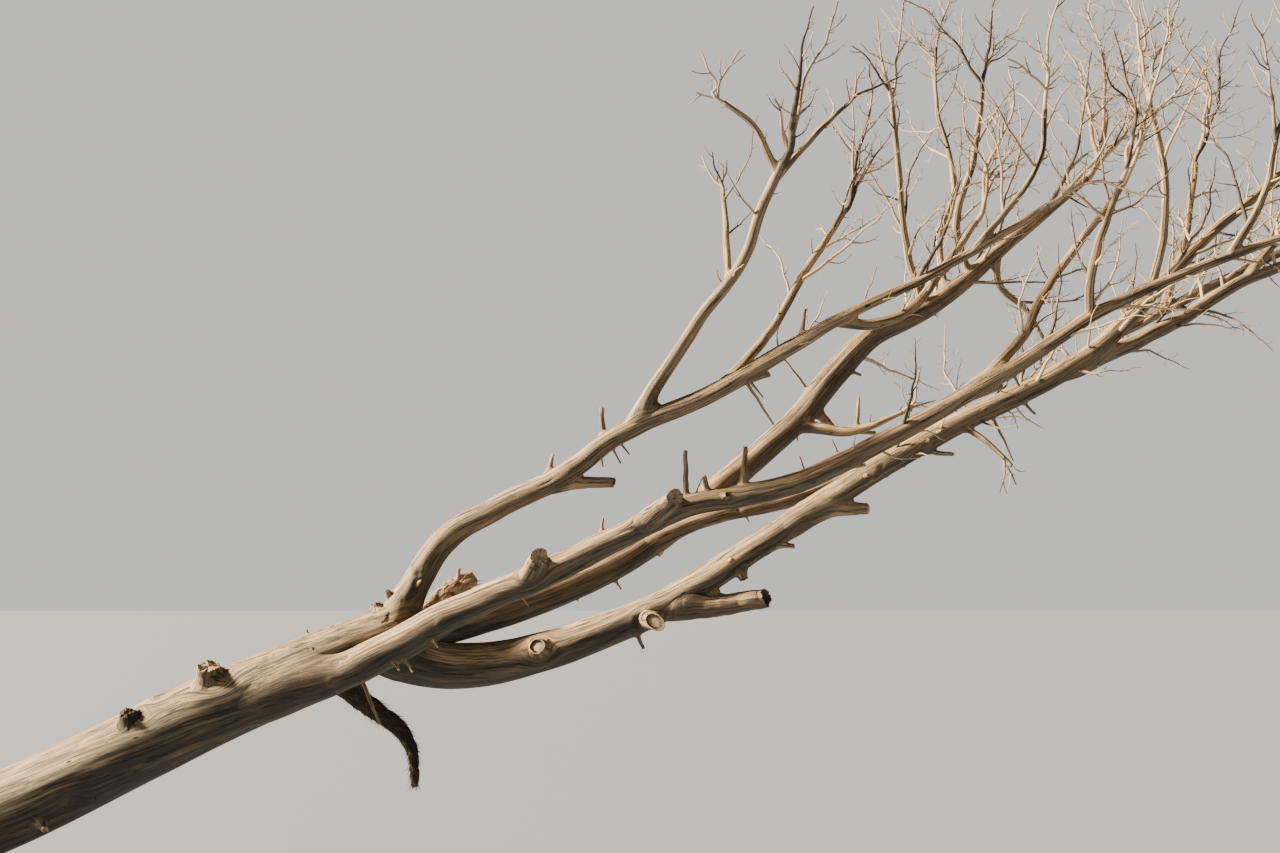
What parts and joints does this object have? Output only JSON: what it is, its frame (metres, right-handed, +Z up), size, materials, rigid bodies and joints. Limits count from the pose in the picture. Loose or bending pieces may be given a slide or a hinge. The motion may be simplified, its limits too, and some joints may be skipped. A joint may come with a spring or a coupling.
{
  "type": "standing dead tree with a leaning trunk",
  "caption": "Whole dead tree, barkless and silver grey: a leaning trunk with a root flare, long bare boughs with broken stubs, and a bare crown of fine twigs.",
  "frame": {"origin": "middle of the flat cut under the trunk, at ground level", "axes": "+Z is up, +X is the way the trunk leans and the boughs run, +Y is the far side as the picture sees it"},
  "size_m": [7.8825, 2.3952, 4.7112],
  "materials": {
    "bare_wood": "weathered barkless wood, silver grey to tan, with long grain streaks and drying cracks",
    "old_bark": "shredded bark over dead wood, tan on the broken limb and dark red-brown on the hanging one",
    "bare_twigs": "dry bare twigs, grey-tan"
  },
  "bodies": {
    "root": {"trunk": "bare_wood", "low_bough": "bare_wood", "front_bough": "bare_wood", "back_bough": "bare_wood", "upper_bough": "bare_wood", "broken_limb": "old_bark", "hanging_limb": "old_bark", "link_bough": "bare_wood", "right_bough": "bare_wood", "side_limb": "bare_wood", "upper_left": "bare_wood", "upper_left_side": "bare_wood", "upper_left_arm": "bare_wood", "upper_left_fork": "bare_wood", "middle_riser": "bare_wood", "cross_limb": "bare_wood", "front_riser": "bare_wood", "front_upright": "bare_wood", "back_shoot_left": "bare_wood", "back_shoot_far": "bare_wood", "back_shoot_right": "bare_wood", "back_droop": "bare_wood", "upper_shoot": "bare_wood", "low_riser": "bare_wood", "low_droop": "bare_wood", "link_riser": "bare_wood", "front_tip_riser": "bare_wood", "right_riser": "bare_wood", "upper_left_twigs": "bare_twigs", "upper_left_arm_twigs": "bare_twigs", "upper_left_fork_twigs": "bare_twigs", "upper_left_side_twigs": "bare_twigs", "middle_riser_twigs": "bare_twigs", "cross_limb_twigs": "bare_twigs", "upper_bough_twigs": "bare_twigs", "back_shoot_left_twigs": "bare_twigs", "back_shoot_far_twigs": "bare_twigs", "back_shoot_right_twigs": "bare_twigs", "upper_shoot_twigs": "bare_twigs", "front_riser_twigs": "bare_twigs", "front_upright_twigs": "bare_twigs", "low_riser_twigs": "bare_twigs", "link_riser_twigs": "bare_twigs", "front_tip_riser_twigs": "bare_twigs", "right_riser_twigs": "bare_twigs", "front_bough_twigs": "bare_twigs", "back_bough_twigs": "bare_twigs", "low_bough_twigs": "bare_twigs", "right_bough_twigs": "bare_twigs", "link_bough_twigs": "bare_twigs", "side_limb_twigs": "bare_twigs", "back_droop_twigs": "bare_twigs", "low_droop_twigs": "bare_twigs"}
  },
  "joints": []
}
